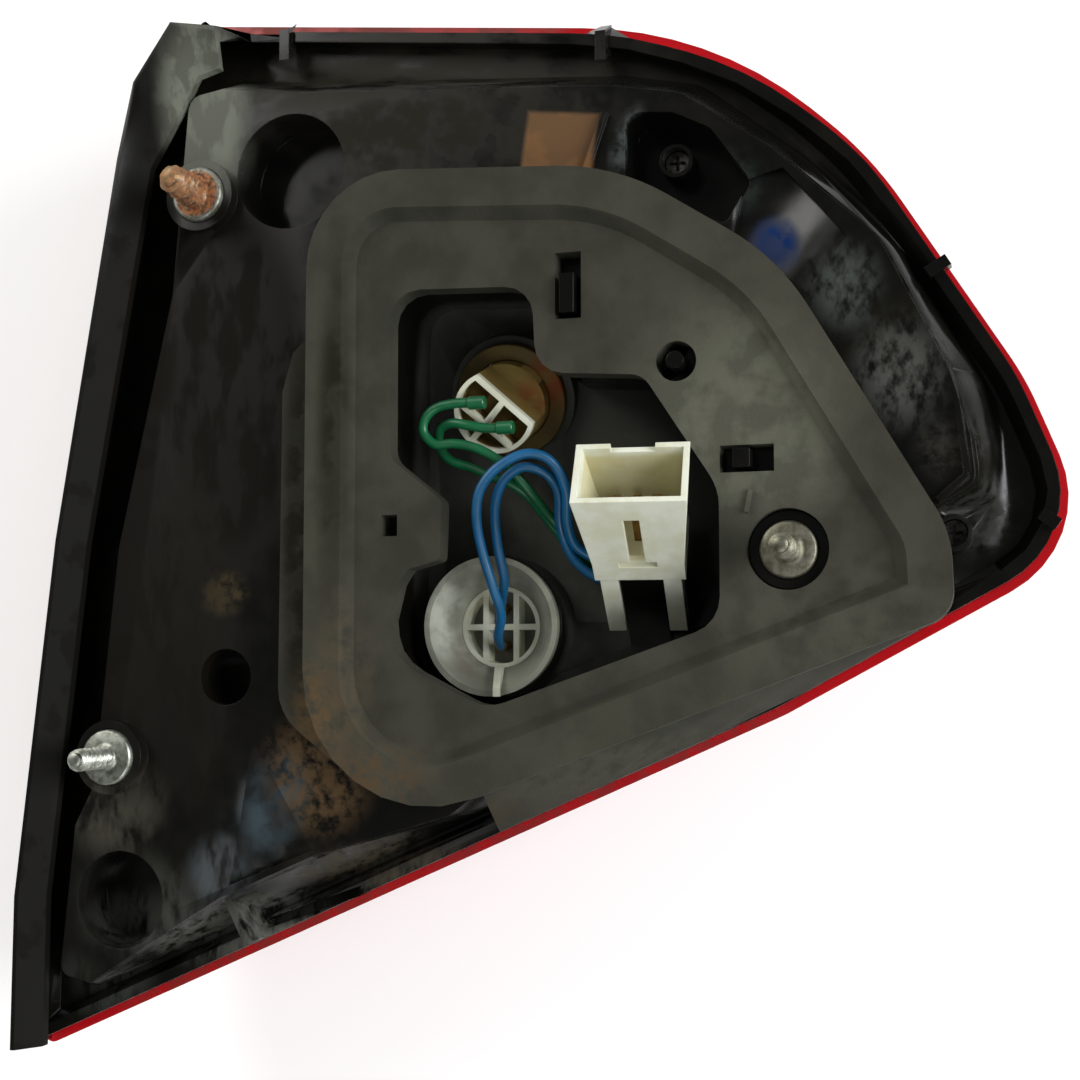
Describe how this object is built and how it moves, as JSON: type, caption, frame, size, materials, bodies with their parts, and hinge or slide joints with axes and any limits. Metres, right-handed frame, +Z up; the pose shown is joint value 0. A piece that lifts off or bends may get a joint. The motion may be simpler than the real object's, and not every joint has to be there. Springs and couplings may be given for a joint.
{
  "type": "tail light cluster",
  "caption": "Used car tail light cluster seen from behind: black housing, grey seal, threaded studs, bulb holders, leads and plug socket, with a red lens in front.",
  "frame": {"origin": "centre of the mounting face of the collar of the stud in the seal", "axes": "-Y along the studs, out of the lamp's back; +Y towards the lens; +Z up; +X right as seen from behind the lamp"},
  "size_m": [0.2854, 0.0971, 0.2966],
  "materials": {
    "housing_plastic": "gloss black plastic under brown dust",
    "seal_foam": "matt grey foam rubber",
    "zinc_steel": "zinc plated",
    "rusty_steel": "rust over zinc plating",
    "lens_red_plastic": "gloss red",
    "lens_clear_plastic": "clear gloss",
    "sealant": "cured black glue",
    "metallised_plastic": "vacuum metallised",
    "screw_steel": "dull steel",
    "ivory_plastic": "ivory nylon, satin",
    "seal_grey_rubber": "grey rubber",
    "seal_brown_rubber": "heat browned rubber",
    "contact_brass": "tinned brass",
    "bulb_glass": "clear glass",
    "lead_green": "green insulation",
    "lead_blue": "blue insulation"
  },
  "bodies": {
    "root": {"housing": "housing_plastic", "housing_face": "housing_plastic", "housing_bay": "housing_plastic", "housing_pocket_upper_left": "housing_plastic", "housing_pocket_lower_left": "housing_plastic", "housing_pocket_middle_left": "housing_plastic", "housing_screw_pocket": "housing_plastic", "gasket": "seal_foam", "stud_upper_left": "rusty_steel", "stud_lower_left": "zinc_steel", "stud_gasket": "zinc_steel", "lens_red": "lens_red_plastic", "lens_clear": "lens_clear_plastic", "lens_sealant": "sealant", "reflector": "metallised_plastic", "reflector_screw_upper": "screw_steel", "reflector_screw_right": "screw_steel", "holder_lower": "ivory_plastic", "holder_upper": "ivory_plastic", "holder_seal_lower": "seal_grey_rubber", "holder_seal_upper": "seal_brown_rubber", "contacts_lower": "contact_brass", "contacts_upper": "contact_brass", "bulb_lower": "bulb_glass", "bulb_upper": "bulb_glass", "connector_housing": "ivory_plastic", "connector_pins": "contact_brass", "connector_wire_seal": "seal_grey_rubber", "wire_green_a": "lead_green", "wire_green_b": "lead_green", "wire_blue_a": "lead_blue", "wire_blue_b": "lead_blue"}
  },
  "joints": []
}
